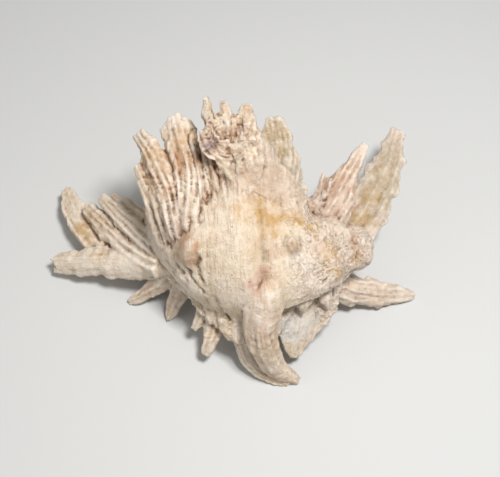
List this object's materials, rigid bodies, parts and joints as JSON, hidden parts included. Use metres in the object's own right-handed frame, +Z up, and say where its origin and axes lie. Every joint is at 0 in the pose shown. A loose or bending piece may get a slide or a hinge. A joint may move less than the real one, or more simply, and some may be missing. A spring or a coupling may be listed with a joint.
{
  "type": "murex shell",
  "caption": "Large weathered murex sea shell with leafy spines, a low worn spire and a long siphonal canal, lying on its aperture.",
  "frame": {"origin": "centre of the shell's footprint, on the surface that it rests on", "axes": "+X towards the tip of the spire, +Y to the side of the outer lip, +Z up"},
  "size_m": [0.2413, 0.1722, 0.1324],
  "materials": {
    "shell": "chalky, bleached and weathered"
  },
  "bodies": {
    "root": {"shell": "shell"}
  },
  "joints": []
}
